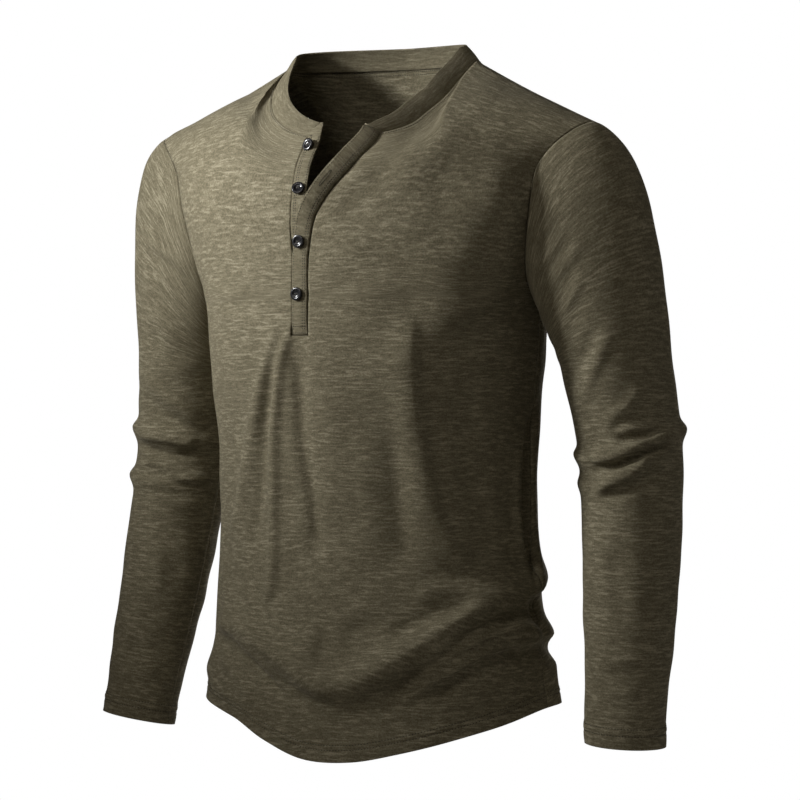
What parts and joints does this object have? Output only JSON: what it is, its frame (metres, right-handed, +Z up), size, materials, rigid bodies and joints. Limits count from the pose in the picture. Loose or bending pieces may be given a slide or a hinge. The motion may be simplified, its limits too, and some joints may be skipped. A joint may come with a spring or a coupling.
{
  "type": "henley shirt",
  "caption": "Long-sleeved henley shirt in slub jersey, filled out as worn with no wearer, its placket open at the top.",
  "frame": {"origin": "middle of the shoulder line, halfway between the points where the neckband crosses the shoulder seams", "axes": "+Z up, the front faces -Y, the wearer's left is +X"},
  "size_m": [0.6459, 0.2722, 0.7071],
  "materials": {
    "jersey": "matte slub jersey",
    "button": "polished"
  },
  "bodies": {
    "root": {"front": "jersey", "back": "jersey", "sleeve_left": "jersey", "sleeve_right": "jersey", "neckband": "jersey", "placket_over": "jersey", "placket_under": "jersey", "button_1": "button", "button_2": "button", "button_3": "button", "button_4": "button"}
  },
  "joints": []
}
